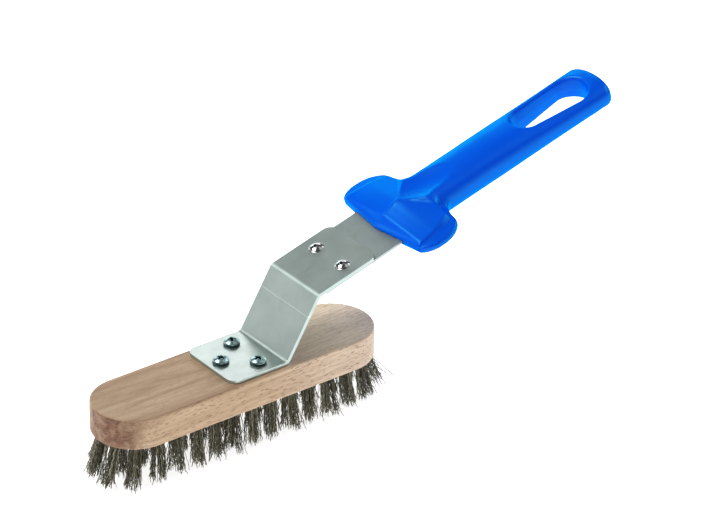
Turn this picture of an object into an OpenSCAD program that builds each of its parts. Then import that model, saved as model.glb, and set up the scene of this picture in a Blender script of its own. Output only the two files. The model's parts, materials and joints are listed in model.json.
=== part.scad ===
// Hand wire brush with a raised handle: a wooden block filled with crimped-wire tufts, a bent
// sheet-metal bracket screwed to its top, and a plastic handle moulded on a flat steel tang.
// Millimetres. +Z is up, +X runs along the block towards the handle, and the origin is the
// middle of the plane of the bristle tips.

/* [Block] */
// Length of the wooden block
block_len = 168; // [158:1:190]
// Width of the block, which is also the diameter of its round ends
block_w = 44.5; // [43:0.5:50]
// Thickness of the block
block_h = 17; // [16:0.5:24]
// Rounding of the top and bottom edges of the block
edge_r = 1.2; // [1:0.2:4]

/* [Tufts] */
// Free length of the wire below the block
tuft_len = 25; // [15:1:45]
// Diameter of a tuft in its hole
tuft_d = 5.4; // [4:0.1:5.6]
// Diameter of a straight tuft at its tips
tuft_tip_d = 8; // [6:0.5:9.5]
// Distance between tufts along a row
tuft_pitch = 11.65; // [11.2:0.05:12]
// Distance from the middle row to an outer row
row_gap = 15.3; // [13:0.1:15.5]
// Tufts in an outer row
outer_count = 11; // [11]
// Tufts in the middle row
middle_count = 13; // [13]
// Outward lean of the outer rows
row_lean = 4; // [0:1:6]
// Outward lean of the tufts round each end
end_lean = 13; // [0:1:14]
// Depth of the tuft holes
hole_depth = 7; // [5:0.5:7]

/* [Bracket] */
// Width of the bracket
strip_w = 40; // [36:1:42]
// Thickness of the bracket
bracket_t = 2; // [1.5:0.1:3]
// Inside radius of both bends
bend_r = 3; // [2:0.5:4]
// Rounding of the four free corners
corner_r = 5; // [2:0.5:6]
// X of the free edge of the foot
foot_x = -15.5; // [-20:0.5:-14]
// X of the sharp corner where the riser would leave the foot
riser_x = 18.5; // [16:0.5:24]
// Slope of the riser above the horizontal
riser_angle = 58.8; // [50:0.2:65]
// Length of the riser between its two sharp corners
riser_len = 38; // [30:1:50]
// Slope of the upper plate, the tang and the handle
grip_angle = 15.6; // [8:0.2:20]
// Length of the upper plate from its sharp corner
plate_len = 39; // [36:1:46]

/* [Tang] */
// Width of the tang
tang_w = 38.4; // [34:0.2:42]
// Thickness of the tang
tang_t = 1.5; // [1.2:0.1:2]
// Start of the tang, measured from the sharp corner of the upper plate
tang_start = 5.5; // [5:0.5:8]
// Length of the tang at its full width inside the handle
tang_wide = 14; // [8:1:16]
// Length of the narrow tail inside the handle
tail_len = 44; // [20:1:46]
// Width of the narrow tail
tail_w = 14; // [10:1:16]

/* [Fasteners] */
// Diameter of a screw head
screw_head_d = 8.6; // [8:0.1:9.5]
// Diameter of a screw shank
screw_d = 4.2; // [3.5:0.1:4.2]
// Length of a screw under its head
screw_len = 11.4; // [9:0.1:11.4]
// Diameter of a blind rivet
rivet_d = 4; // [3.2:0.1:4.8]
// Diameter of a rivet head
rivet_head_d = 8.2; // [7:0.1:9.5]
// Distance from a rivet to the middle line
rivet_y = 11; // [8:0.5:13]
// Distance of the rivets from the sharp corner of the upper plate
rivet_s = 22.7; // [18:0.1:28]

/* [Handle] */
// Distance from the sharp corner of the upper plate to the front of the finger guard
guard_s = 52.7; // [48:0.1:56]
// Length of the handle
handle_len = 152; // [152]
// Half width of the grip
grip_hw = 14.7; // [13:0.1:16]
// Half thickness of the grip
grip_ht = 9.5; // [8:0.1:11]
// Half width of the finger guard
guard_hw = 37.5; // [33:0.5:40]
// Start of the hanging slot, from the front of the handle
slot_start = 95; // [90:1:100]
// End of the hanging slot
slot_end = 142; // [138:1:143]
// Radius of the narrow end of the slot
slot_r1 = 8.4; // [5:0.1:9]
// Radius of the wide end of the slot
slot_r2 = 10.6; // [7:0.1:11]
// Depth of the thumb dish
dish_depth = 2.2; // [1:0.1:3]
// Radius of the scoop that makes the dish
dish_r = 62; // [40:1:90]
// Middle of the dish, from the front of the handle
dish_u = 35.5; // [33:0.5:38]

/* [Hidden] */
$fn = 64;

block_top = tuft_len + block_h;
foot_top = block_top + bracket_t;
end_x = (block_len - block_w) / 2;

// Sharp corners of the bracket's upper face, as [x, z]
corner1 = [riser_x, foot_top];
corner2 = corner1 + riser_len * [cos(riser_angle), sin(riser_angle)];
bend_out = bend_r + bracket_t;
bend1_cut = bend_r * tan(riser_angle / 2);
bend2_cut = bend_out * tan((riser_angle - grip_angle) / 2);

// Heights below the upper face of the plate
tang_z = -bracket_t - tang_t;
handle_z = -bracket_t - tang_t / 2;

// Screw places on the foot, as [x, y]
screw_at = [[-8, 0], [7, 11.4], [7, -11.4]];
screw_hole_d = screw_d + 0.6;
screw_head_h = 2.9;
screw_tip = 4;
screw_slot_w = 1.1;
screw_slot_l = 5;
screw_slot_h = 1.7;

rivet_head_h = 1.7;
rivet_bore_d = 2.2;
rivet_tail_d = 6;
rivet_tail_h = 3;
mandrel_sunk = 0.6;
mandrel_ball_d = 3.6;

anchor_w = 6.8;
anchor_t = 0.6;
anchor_h = 2;

// Tufts round an end, as distance from the end's centre and angle from the long axis
end_tufts = [[16.5, 20], [15.1, 58.7]];

// Distance from the free edge of the tang to its keying holes in the tail
key_hole_d = 6;
key_hole_gap = 16;

// Cross-sections of the handle, from the guard to the end:
// place along the handle, half width, half thickness at the middle, half thickness at the
// edge as a share of the middle, and the power of the outline (2 is an ellipse)
guard_top_u = 5;
sections = [
    [guard_top_u, 0.850 * guard_hw, 0.70 * grip_ht, 0.42, 6.0],
    [8, 0.930 * guard_hw, 0.76 * grip_ht, 0.40, 6.0],
    [12, 0.985 * guard_hw, 0.84 * grip_ht, 0.36, 6.0],
    [18, guard_hw, 0.93 * grip_ht, 0.32, 5.5],
    [24, 0.980 * guard_hw, 0.98 * grip_ht, 0.32, 5.0],
    [28, 0.930 * guard_hw, grip_ht, 0.34, 4.5],
    [30.5, 0.850 * guard_hw, grip_ht, 0.38, 4.0],
    [32.5, 0.690 * guard_hw, grip_ht, 0.55, 3.4],
    [35, 1.280 * grip_hw, grip_ht, 0.78, 2.9],
    [40, 1.060 * grip_hw, grip_ht, 0.94, 2.5],
    [48, grip_hw, grip_ht, 1.00, 2.4],
    [62, grip_hw, grip_ht, 1.00, 2.4],
    [80, 1.015 * grip_hw, 0.97 * grip_ht, 1.00, 2.4],
    [100, 1.040 * grip_hw, 0.90 * grip_ht, 1.00, 2.4],
    [120, 1.065 * grip_hw, 0.83 * grip_ht, 1.00, 2.4],
    [138, 1.095 * grip_hw, 0.78 * grip_ht, 1.00, 2.5],
    [145, 1.095 * grip_hw, 0.76 * grip_ht, 1.00, 2.6],
    [149, 1.050 * grip_hw, 0.68 * grip_ht, 1.00, 2.6],
    [151.2, 0.970 * grip_hw, 0.48 * grip_ht, 1.00, 2.4],
    [handle_len, 0.880 * grip_hw, 0.25 * grip_ht, 1.00, 2.2]];
steps_between = 3;
ring_points = 48;
end_bow = 4;
prow_slope = 0.13;
prow_half = 1.2;

bend_steps = 16;
function arc(centre, r, start, stop) = [
    for (i = [0 : bend_steps])
        let (a = start + (stop - start) * i / bend_steps)
        centre + r * [cos(a), sin(a)]];

function row_x(count) = [for (i = [0 : count - 1]) (i - (count - 1) / 2) * tuft_pitch];

// A tuft is [x, y, direction of its lean, lean]
function row_tufts(count, y, dir, lean) = [for (x = row_x(count)) [x, y, dir, lean]];
function end_ring(side) = [
    for (flip = [-1, 1], t = end_tufts)
        let (a = flip * t[1])
        [side * (end_x + t[0] * cos(a)), t[0] * sin(a), side > 0 ? a : 180 - a, end_lean]];

left_tufts = row_tufts(outer_count, row_gap, 90, row_lean);
right_tufts = row_tufts(outer_count, -row_gap, -90, row_lean);
middle_tufts = row_tufts(middle_count, 0, 0, 0);
nose_tufts = end_ring(-1);
heel_tufts = end_ring(1);
all_tufts = concat(left_tufts, right_tufts, middle_tufts, nose_tufts, heel_tufts);

// Smooth curve through four neighbouring sections, t from 0 at b to 1 at c
function blend(a, b, c, d, t) =
    0.5 * (2 * b + (c - a) * t + (2 * a - 5 * b + 4 * c - d) * t * t
    + (3 * b - a - 3 * c + d) * t * t * t);
last_section = len(sections) - 1;
function section_at(i, t) = blend(sections[max(i - 1, 0)], sections[i],
    sections[min(i + 1, last_section)], sections[min(i + 2, last_section)], t);
function power(v, p) = sign(v) * pow(abs(v), p);
function outline_point(s, a) =
    let (y = s[1] * power(cos(a), 2 / s[4]),
         edge = abs(y) / s[1],
         z = s[2] * (1 - (1 - s[3]) * edge) * power(sin(a), 2 / s[4]),
         bow = end_bow * pow(max(0, s[0] - 120) / (handle_len - 120), 2) * edge * edge)
    [s[0] - bow, y, z];
ring_angles = [for (k = [0 : ring_points - 1]) 360 * (k + 0.5) / ring_points];
function ring(s) = [for (a = ring_angles) outline_point(s, a)];
function prow_ring(s) = [
    for (p = ring(s)) [prow_slope * abs(p[1]), p[1], p[2] * prow_half / s[2]]];
handle_rings = concat(
    [prow_ring(sections[0])],
    [for (i = [0 : last_section - 1], k = [0 : steps_between - 1])
        ring(section_at(i, k / steps_between))],
    [ring(sections[last_section])]);

module block_profile() {
    // Section of the block with rounded edges, one half, from the middle line outwards
    flat = block_w / 2 - edge_r;
    square([flat, block_h]);
    translate([0, edge_r]) square([block_w / 2, block_h - 2 * edge_r]);
    for (z = [edge_r, block_h - edge_r]) {
        intersection() {
            translate([flat, z]) circle(edge_r);
            translate([flat, z - edge_r]) square([edge_r, 2 * edge_r]);
        }
    }
}

module block_solid() {
    translate([0, 0, tuft_len]) {
        for (side = [-1, 1]) {
            translate([side * end_x, 0, 0]) rotate_extrude() block_profile();
            translate([-end_x, 0, 0]) rotate([90, 0, 90]) linear_extrude(2 * end_x)
                mirror([side < 0 ? 1 : 0, 0]) block_profile();
        }
    }
}

// Puts children at the root of a tuft, with -Z along the wires
module at_tuft(t) {
    translate([t[0], t[1], tuft_len]) rotate([0, 0, t[2]]) rotate([0, -t[3], 0]) children();
}

module tuft_hole() {
    translate([0, 0, -edge_r]) cylinder(d = tuft_d, h = hole_depth + edge_r);
}

module anchor() {
    translate([-anchor_w / 2, -anchor_t / 2, hole_depth - anchor_h])
        cube([anchor_w, anchor_t, anchor_h]);
}

module anchors(list) {
    color("silver") for (t = list) at_tuft(t) anchor();
}

module tuft() {
    // Where a lean lifts one side of the root, the straight part reaches into the block
    straight = 1;
    cone = tuft_len / cos(end_lean) + tuft_tip_d;
    spread = (tuft_tip_d - tuft_d) / tuft_len;
    difference() {
        union() {
            translate([0, 0, -straight]) cylinder(d = tuft_d, h = hole_depth + straight);
            translate([0, 0, -cone]) cylinder(d1 = tuft_d + spread * cone, d2 = tuft_d, h = cone - straight);
        }
        anchor();
    }
}

module tufts(list) {
    floor_size = 2 * block_len;
    color("dimgray") difference() {
        for (t = list) at_tuft(t) tuft();
        translate([-floor_size / 2, -floor_size / 2, -floor_size]) cube(floor_size);
    }
}

module block() {
    color("burlywood") difference() {
        block_solid();
        for (t = all_tufts) at_tuft(t) {
            tuft_hole();
            anchor();
        }
        for (p = screw_at) translate([p[0], p[1], foot_top]) screw_shank();
    }
}

module screw_shank() {
    translate([0, 0, screw_tip - screw_len]) cylinder(d = screw_d, h = screw_len - screw_tip);
    translate([0, 0, -screw_len]) cylinder(d1 = 0.8, d2 = screw_d, h = screw_tip);
}

module screw_head() {
    // Pan head: a short straight side under a dome
    side = 0.9;
    rise = screw_head_h - side;
    dome_r = (pow(screw_head_d / 2, 2) + rise * rise) / (2 * rise);
    difference() {
        intersection() {
            cylinder(d = screw_head_d, h = screw_head_h);
            translate([0, 0, screw_head_h - dome_r]) sphere(dome_r);
        }
        for (turn = [0, 90]) rotate([0, 0, turn])
            translate([-screw_slot_l / 2, -screw_slot_w / 2, screw_head_h - screw_slot_h])
                cube([screw_slot_l, screw_slot_w, screw_slot_h + 1]);
    }
}

// Turn is the angle at which the cross recess came to rest
module screw(place, turn) {
    color("lightsteelblue") translate([place[0], place[1], foot_top]) rotate([0, 0, turn]) {
        screw_head();
        screw_shank();
    }
}

// Side view of the bracket in X and Z: along its upper face, then back along its lower face
module bracket_profile() {
    along_riser = [cos(riser_angle), sin(riser_angle)];
    along_plate = [cos(grip_angle), sin(grip_angle)];
    under_plate = [sin(grip_angle), -cos(grip_angle)];
    centre1 = corner1 + [-bend1_cut, bend_r];
    centre2 = corner2 - bend2_cut * along_riser + bend_out * [sin(riser_angle), -cos(riser_angle)];
    plate_end = corner2 + plate_len * along_plate;
    polygon(concat(
        [[foot_x, foot_top]],
        arc(centre1, bend_r, -90, riser_angle - 90),
        arc(centre2, bend_out, 90 + riser_angle, 90 + grip_angle),
        [plate_end, plate_end + bracket_t * under_plate],
        arc(centre2, bend_r, 90 + grip_angle, 90 + riser_angle),
        arc(centre1, bend_out, riser_angle - 90, -90),
        [[foot_x, block_top]]));
}

// Puts children on the upper plate: X along the slope, Z up from its upper face
module on_plate() {
    translate([corner2[0], 0, corner2[1]]) rotate([0, -grip_angle, 0]) children();
}

// Removes the square corner of a sheet whose corner is at the origin, material towards -X, -Y
module corner_cutter(r) {
    difference() {
        translate([-r, -r, -5]) cube([r + 1, r + 1, 10]);
        translate([-r, -r, -6]) cylinder(r = r, h = 12);
    }
}

module bracket() {
    color("silver") difference() {
        translate([0, strip_w / 2, 0]) rotate([90, 0, 0]) linear_extrude(strip_w) bracket_profile();
        for (p = screw_at) translate([p[0], p[1], block_top - 1])
            cylinder(d = screw_hole_d, h = bracket_t + 2);
        for (side = [-1, 1]) {
            translate([foot_x, side * strip_w / 2, block_top]) mirror([1, 0, 0])
                mirror([0, side < 0 ? 1 : 0, 0]) corner_cutter(corner_r);
            on_plate() {
                translate([plate_len, side * strip_w / 2, 0]) mirror([0, side < 0 ? 1 : 0, 0])
                    corner_cutter(corner_r);
                translate([rivet_s, side * rivet_y, -bracket_t - 1])
                    cylinder(d = rivet_d, h = bracket_t + 2);
            }
        }
    }
}

// The tang lies flat under the upper plate and runs on into the handle
module tang() {
    wide_end = guard_s + tang_wide;
    color("darkgray") on_plate() difference() {
        union() {
            translate([tang_start, -tang_w / 2, tang_z])
                cube([wide_end - tang_start, tang_w, tang_t]);
            translate([wide_end, -tail_w / 2, tang_z]) cube([tail_len, tail_w, tang_t]);
        }
        for (side = [-1, 1]) translate([rivet_s, side * rivet_y, tang_z - 1])
            cylinder(d = rivet_d, h = tang_t + 2);
        for (i = [0, 1]) translate([wide_end + tail_len / 3 + i * key_hole_gap, 0, tang_z - 1])
            cylinder(d = key_hole_d, h = tang_t + 2);
    }
}

// Blind rivet: dome head, hollow shank and a swollen tail under the tang
module rivet(side) {
    dome_r = (pow(rivet_head_d / 2, 2) + rivet_head_h * rivet_head_h) / (2 * rivet_head_h);
    color("gainsboro") on_plate() translate([rivet_s, side * rivet_y, 0]) difference() {
        union() {
            intersection() {
                cylinder(d = rivet_head_d, h = rivet_head_h);
                translate([0, 0, rivet_head_h - dome_r]) sphere(dome_r);
            }
            translate([0, 0, tang_z]) cylinder(d = rivet_d, h = -tang_z);
            translate([0, 0, tang_z - rivet_tail_h])
                cylinder(d1 = rivet_d, d2 = rivet_tail_d, h = rivet_tail_h);
        }
        translate([0, 0, tang_z - rivet_tail_h - 1])
            cylinder(d = rivet_bore_d, h = rivet_tail_h - tang_z + rivet_head_h + 2);
    }
}

// What is left of the drawn pin: a snapped stem in the bore and a ball below the tail
module mandrel(side) {
    low = tang_z - rivet_tail_h;
    color("dimgray") on_plate() translate([rivet_s, side * rivet_y, 0]) {
        translate([0, 0, low]) cylinder(d = rivet_bore_d, h = rivet_head_h - mandrel_sunk - low);
        translate([0, 0, low - mandrel_ball_d / 4])
            cylinder(d1 = rivet_bore_d, d2 = mandrel_ball_d, h = mandrel_ball_d / 4);
    }
}

module handle_body() {
    rings = len(handle_rings);
    n = ring_points;
    first = [[for (k = [0 : n - 1]) k]];
    last = [[for (k = [n - 1 : -1 : 0]) (rings - 1) * n + k]];
    sides = [for (i = [0 : rings - 2], k = [0 : n - 1])
        [i * n + k, (i + 1) * n + k, (i + 1) * n + (k + 1) % n, i * n + (k + 1) % n]];
    polyhedron([for (r = handle_rings) each r], concat(first, sides, last), convexity = 6);
}

module hanging_slot() {
    hull() {
        translate([slot_start + slot_r1, 0, -2 * grip_ht]) cylinder(r = slot_r1, h = 4 * grip_ht);
        translate([slot_end - slot_r2, 0, -2 * grip_ht]) cylinder(r = slot_r2, h = 4 * grip_ht);
    }
}

module handle() {
    color("dodgerblue") difference() {
        on_plate() translate([guard_s, 0, handle_z]) difference() {
            handle_body();
            hanging_slot();
            translate([dish_u, 0, grip_ht - dish_depth + dish_r]) sphere(dish_r, $fn = 128);
        }
        tang();
    }
}

block();
bracket();
tang();
handle();
screw(screw_at[0], 24);  // screw_front
screw(screw_at[1], 62);  // screw_left
screw(screw_at[2], 8);  // screw_right
rivet(1);  // rivet_left
rivet(-1);  // rivet_right
mandrel(1);  // mandrel_left
mandrel(-1);  // mandrel_right
tufts(left_tufts);  // tufts_left
tufts(middle_tufts);  // tufts_middle
tufts(right_tufts);  // tufts_right
tufts(nose_tufts);  // tufts_nose
tufts(heel_tufts);  // tufts_heel
anchors(left_tufts);  // anchors_left
anchors(middle_tufts);  // anchors_middle
anchors(right_tufts);  // anchors_right
anchors(nose_tufts);  // anchors_nose
anchors(heel_tufts);  // anchors_heel
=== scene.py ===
"""Hand wire brush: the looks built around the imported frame. Lengths are millimetres until
new_mesh() turns them into metres. The lights and the floor are given in metres."""
import json
import math

import bpy
import numpy as np
from mathutils import Matrix, Vector

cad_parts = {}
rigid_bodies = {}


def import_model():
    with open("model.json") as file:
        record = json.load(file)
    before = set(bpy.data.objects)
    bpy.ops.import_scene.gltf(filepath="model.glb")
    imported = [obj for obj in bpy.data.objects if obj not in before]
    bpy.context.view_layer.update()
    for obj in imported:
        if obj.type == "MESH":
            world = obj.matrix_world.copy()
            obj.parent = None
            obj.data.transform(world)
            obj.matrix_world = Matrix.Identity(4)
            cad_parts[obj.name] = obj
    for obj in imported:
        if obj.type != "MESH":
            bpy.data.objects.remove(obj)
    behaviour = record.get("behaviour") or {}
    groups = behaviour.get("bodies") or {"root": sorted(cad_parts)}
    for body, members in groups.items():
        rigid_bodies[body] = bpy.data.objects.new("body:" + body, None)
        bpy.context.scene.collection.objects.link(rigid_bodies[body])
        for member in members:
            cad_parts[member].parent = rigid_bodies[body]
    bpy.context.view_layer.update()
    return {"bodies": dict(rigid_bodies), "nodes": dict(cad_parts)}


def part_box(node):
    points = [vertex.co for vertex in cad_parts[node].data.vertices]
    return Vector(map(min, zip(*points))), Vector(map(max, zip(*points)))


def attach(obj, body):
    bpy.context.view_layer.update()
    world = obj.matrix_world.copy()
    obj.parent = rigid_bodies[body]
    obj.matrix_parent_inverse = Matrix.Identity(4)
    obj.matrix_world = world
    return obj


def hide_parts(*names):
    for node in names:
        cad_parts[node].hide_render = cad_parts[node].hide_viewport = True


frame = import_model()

MM = 0.001
rng = np.random.default_rng(20)

# ---------------------------------------------------------------- places, from the frame

GRIP_ANGLE = math.radians(15.6)     # slope of the plate, the tang and the handle
RISER_ANGLE = math.radians(58.8)    # slope of the bracket's riser
RISER_X = 18.5                      # sharp corner between the foot and the riser
RISER_LEN = 38.0                    # between the riser's two sharp corners
SHEET = 2.0                         # thickness of the bracket
TANG = 1.5                          # thickness of the tang
GUARD_S = 52.7                      # front of the guard, from the plate's sharp corner
RIVET_S = 22.7                      # rivets, from the plate's sharp corner
RIVET_Y = 11.0                      # rivets, from the middle line


def box_mm(node):
    """Lowest and highest corners of a CAD node."""
    return [np.array(corner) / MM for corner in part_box(node)]


foot_top = box_mm("block")[1][2] + SHEET
plate_corner = np.array([
    RISER_X + RISER_LEN * math.cos(RISER_ANGLE), 0.0,
    foot_top + RISER_LEN * math.sin(RISER_ANGLE)])
along = np.array([math.cos(GRIP_ANGLE), 0.0, math.sin(GRIP_ANGLE)])
across = np.array([0.0, 1.0, 0.0])
above = np.array([-math.sin(GRIP_ANGLE), 0.0, math.cos(GRIP_ANGLE)])
handle_origin = plate_corner + GUARD_S * along - (SHEET + TANG / 2) * above


def on_plate(points, origin):
    """Points given along the plate, across it and above it, as points of the frame."""
    return origin + points[:, :1] * along + points[:, 1:2] * across + points[:, 2:3] * above


# ---------------------------------------------------------------- mesh helpers

def new_mesh(name, points, faces, node, material, tone=None):
    """A smooth-shaded piece that stands for one CAD node. A tone is one number a point."""
    mesh = bpy.data.meshes.new(name)
    points = np.asarray(points, np.float32) * MM
    faces = np.asarray(faces, np.int32)
    corners = faces.shape[1]
    mesh.vertices.add(len(points))
    mesh.vertices.foreach_set("co", points.ravel())
    mesh.loops.add(faces.size)
    mesh.loops.foreach_set("vertex_index", faces.ravel())
    mesh.polygons.add(len(faces))
    mesh.polygons.foreach_set("loop_start", np.arange(0, faces.size, corners, dtype=np.int32))
    mesh.polygons.foreach_set("use_smooth", np.ones(len(faces), bool))
    if tone is not None:
        layer = mesh.attributes.new("tone", "FLOAT", "POINT")
        layer.data.foreach_set("value", np.asarray(tone, np.float32))
    mesh.update(calc_edges=True)
    mesh.validate()
    obj = bpy.data.objects.new(name, mesh)
    bpy.context.scene.collection.objects.link(obj)
    mesh.materials.append(material)
    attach(obj, "root")
    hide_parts(node)


def curve(x, knots):
    """Smooth curve through [x, y] knots without overshoot, level outside its end knots."""
    knots = np.array(knots, float)
    kx, ky = knots[:, 0], knots[:, 1]
    step = np.diff(ky) / np.diff(kx)
    a, b = step[:-1], step[1:]
    inner = np.where(a * b > 0, 2 * a * b / np.where(a + b == 0, 1, a + b), 0)
    slope = np.concatenate([step[:1], inner, step[-1:]])
    i = np.clip(np.searchsorted(kx, x) - 1, 0, len(kx) - 2)
    span = kx[i + 1] - kx[i]
    t = np.clip((x - kx[i]) / span, 0, 1)
    t2, t3 = t * t, t * t * t
    return ((2 * t3 - 3 * t2 + 1) * ky[i] + (t3 - 2 * t2 + t) * span * slope[i]
            + (3 * t2 - 2 * t3) * ky[i + 1] + (t3 - t2) * span * slope[i + 1])


def ring_quads(rings, sides):
    """Quads between rings of points that follow one another."""
    rows = np.arange(rings - 1)[:, None] * sides
    here = rows + np.arange(sides)
    beside = rows + (np.arange(sides) + 1) % sides
    return np.stack([here, beside, beside + sides, here + sides], -1).reshape(-1, 4)


# ---------------------------------------------------------------- shapes given by distance

EVEN_ROUNDS = 2         # how often a surface's points are spread and pulled back onto it
PULL_ROUNDS = 3
PROBE = 0.02            # step that measures a shape's slope
LEAST_SLOPE = 0.2       # smallest squared slope that a pull trusts


def cut(a, b, r):
    """What lies in both shapes, with their shared edge rounded to radius r."""
    return (np.minimum(np.maximum(a, b), -r)
            + np.hypot(np.maximum(r + a, 0), np.maximum(r + b, 0)))


def join(a, b, r):
    """Both shapes together, with a hollow fillet of radius r between them."""
    return -cut(-a, -b, r)


def at_corner(grid, corner):
    """The grid's values at one corner of every cell."""
    return grid[tuple(slice(c, n - 1 + c) for c, n in zip(corner, grid.shape))]


def cell_points(value):
    """Which cells the zero surface crosses, and the middle of its crossings in each."""
    total = np.zeros(tuple(n - 1 for n in value.shape))
    place = np.zeros(total.shape + (3,))
    corners = [(i, j, k) for i in (0, 1) for j in (0, 1) for k in (0, 1)]
    edges = [(corner, axis) for corner in corners for axis in range(3) if not corner[axis]]
    for corner, axis in edges:
        end = tuple(1 if a == axis else corner[a] for a in range(3))
        va, vb = at_corner(value, corner), at_corner(value, end)
        crossed = (va < 0) != (vb < 0)
        part = np.where(crossed, va / np.where(crossed, va - vb, 1), 0)
        total += crossed
        for a in range(3):
            place[..., a] += np.where(crossed, part if a == axis else corner[a], 0)
    used = total > 0
    return used, place[used] / total[used][:, None]


def cell_quads(inside, index):
    """A quad round each grid edge that the surface crosses, facing outward."""
    faces = []
    for a in range(3):
        b, c = (a + 1) % 3, (a + 2) % 3
        first, second = np.delete(inside, -1, a), np.delete(inside, 0, a)
        edge = np.argwhere(first != second)
        edge = edge[(edge[:, b] > 0) & (edge[:, c] > 0)]
        ring = []
        for db, dc in ((-1, -1), (0, -1), (0, 0), (-1, 0)):
            cell = edge.copy()
            cell[:, b] += db
            cell[:, c] += dc
            ring.append(index[tuple(cell.T)])
        quad = np.stack(ring, 1)
        outward = first[tuple(edge.T)]
        quad[~outward] = quad[~outward][:, ::-1]
        faces.append(quad)
    return np.concatenate(faces)


def surface(shape, low, high, step):
    """Quads on the zero surface of shape(x, y, z), evened out and pulled onto the surface."""
    axes = [np.arange(a, b + step, step) for a, b in zip(low, high)]
    value = shape(*np.meshgrid(*axes, indexing="ij"))
    used, place = cell_points(value)
    index = np.full(used.shape, -1, np.int64)
    index[used] = np.arange(used.sum())
    points = np.array(low) + step * (np.argwhere(used) + place)
    faces = cell_quads(value < 0, index)
    for _ in range(EVEN_ROUNDS):
        points = onto(shape, relax(points, faces), step)
    return points, faces


def relax(points, faces):
    """Moves each point halfway to the middle of its neighbours."""
    near = np.zeros_like(points)
    count = np.zeros(len(points))
    for k in range(4):
        a, b = faces[:, k], faces[:, (k + 1) % 4]
        np.add.at(near, a, points[b])
        np.add.at(near, b, points[a])
        np.add.at(count, a, 1)
        np.add.at(count, b, 1)
    return 0.5 * points + 0.5 * near / count[:, None]


def onto(shape, points, step):
    """Pulls points onto the zero surface along its slope."""
    for _ in range(PULL_ROUNDS):
        value = shape(*points.T)
        slope = np.stack([
            shape(*(points + PROBE * axis).T) - shape(*(points - PROBE * axis).T)
            for axis in np.eye(3)], 1) / (2 * PROBE)
        size = np.maximum((slope ** 2).sum(1), LEAST_SLOPE)
        move = (value / size)[:, None] * slope
        points = points - np.clip(move, -step / 2, step / 2)
    return points


# ---------------------------------------------------------------- material nodes

COLOUR_A, COLOUR_B, COLOUR_OUT = 6, 7, 2    # a Mix node's sockets for colours


class Shader:
    """A material's nodes, written as calls that return sockets."""

    def __init__(self, name):
        self.material = bpy.data.materials.new(name)
        self.material.use_nodes = True
        self.tree = self.material.node_tree
        self.main = self.tree.nodes["Principled BSDF"]

    def node(self, kind, inputs=None, output=0, **settings):
        """A new node's output, with its inputs fed and its settings made."""
        n = self.tree.nodes.new(kind)
        for key, value in settings.items():
            setattr(n, key, value)
        for key, value in (inputs or {}).items():
            self.feed(n.inputs[key], value)
        return n.outputs[output]

    def feed(self, socket, value):
        """Links a socket to another, or sets its own value."""
        if isinstance(value, bpy.types.NodeSocket):
            self.tree.links.new(value, socket)
        else:
            socket.default_value = value

    def set(self, **values):
        """Feeds the main shader's inputs, by their names with _ for each space."""
        for key, value in values.items():
            self.feed(self.main.inputs[key.replace("_", " ")], value)

    def place(self, scale=1.0, turn=(0, 0, 0)):
        """Object coordinates in millimetres, turned, then scaled by one number or three."""
        coords = self.node("ShaderNodeTexCoord", output="Object")
        turned = self.node("ShaderNodeMapping", {
            "Vector": coords, "Rotation": turn, "Scale": (1 / MM,) * 3})
        scales = scale if isinstance(scale, tuple) else (scale,) * 3
        return self.node("ShaderNodeMapping", {"Vector": turned, "Scale": scales})

    def coordinate(self, axis):
        """One object coordinate in millimetres."""
        return self.node("ShaderNodeSeparateXYZ", {"Vector": self.place()}, output=axis)

    def facing(self, direction):
        """How far the surface faces a direction, from -1 to 1."""
        normal = self.node("ShaderNodeTexCoord", output="Normal")
        return self.node("ShaderNodeVectorMath", {0: normal, 1: direction}, "Value",
                         operation="DOT_PRODUCT")

    def tone(self):
        """The number that the mesh carries at each point."""
        return self.node("ShaderNodeAttribute", output="Fac", attribute_name="tone")

    def noise(self, scale, detail, rough=0.6, turn=(0, 0, 0), distortion=0.0):
        """Soft noise from 0 to 1, about one lump for each unit of the scaled coordinates."""
        return self.node("ShaderNodeTexNoise", {
            "Vector": self.place(scale, turn), "Scale": 1.0, "Detail": detail,
            "Roughness": rough, "Distortion": distortion}, output="Fac")

    def cells(self, scale, turn=(0, 0, 0)):
        """Distance to the nearest of scattered points."""
        return self.node("ShaderNodeTexVoronoi", {
            "Vector": self.place(scale, turn), "Scale": 1.0}, output="Distance")

    def band(self, value, low, high, to_low=0.0, to_high=1.0):
        """A value eased from one range to another, and held at the ends."""
        return self.node("ShaderNodeMapRange", {
            "Value": value, "From Min": low, "From Max": high, "To Min": to_low,
            "To Max": to_high}, interpolation_type="SMOOTHSTEP")

    def math(self, operation, a, b=0.0):
        """One sum on numbers or sockets."""
        return self.node("ShaderNodeMath", {0: a, 1: b}, operation=operation)

    def ramp(self, value, *stops):
        """A colour read from two or more stops of (position, colour)."""
        n = self.tree.nodes.new("ShaderNodeValToRGB")
        self.feed(n.inputs["Fac"], value)
        elements = n.color_ramp.elements
        for i, (position, colour) in enumerate(stops):
            e = elements[i] if i < 2 else elements.new(position)
            e.position = position
            e.color = (*colour, 1)
        return n.outputs["Color"]

    def mix(self, factor, a, b, blend="MIX"):
        """Colour a with colour b over it, by a factor."""
        n = self.tree.nodes.new("ShaderNodeMix")
        n.data_type = "RGBA"
        n.blend_type = blend
        self.feed(n.inputs["Factor"], factor)
        for socket, colour in ((n.inputs[COLOUR_A], a), (n.inputs[COLOUR_B], b)):
            self.feed(socket, (*colour, 1) if isinstance(colour, tuple) else colour)
        return n.outputs[COLOUR_OUT]

    def bump(self, height, distance, strength):
        """Normals of a surface whose relief is at most the distance, in millimetres."""
        return self.node("ShaderNodeBump", {
            "Height": height, "Distance": distance * MM, "Strength": strength},
            output="Normal")


# ---------------------------------------------------------------- wood

GRAIN = (0.95, 0.30, 0)     # the grain's direction, a little off the block's length


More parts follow.
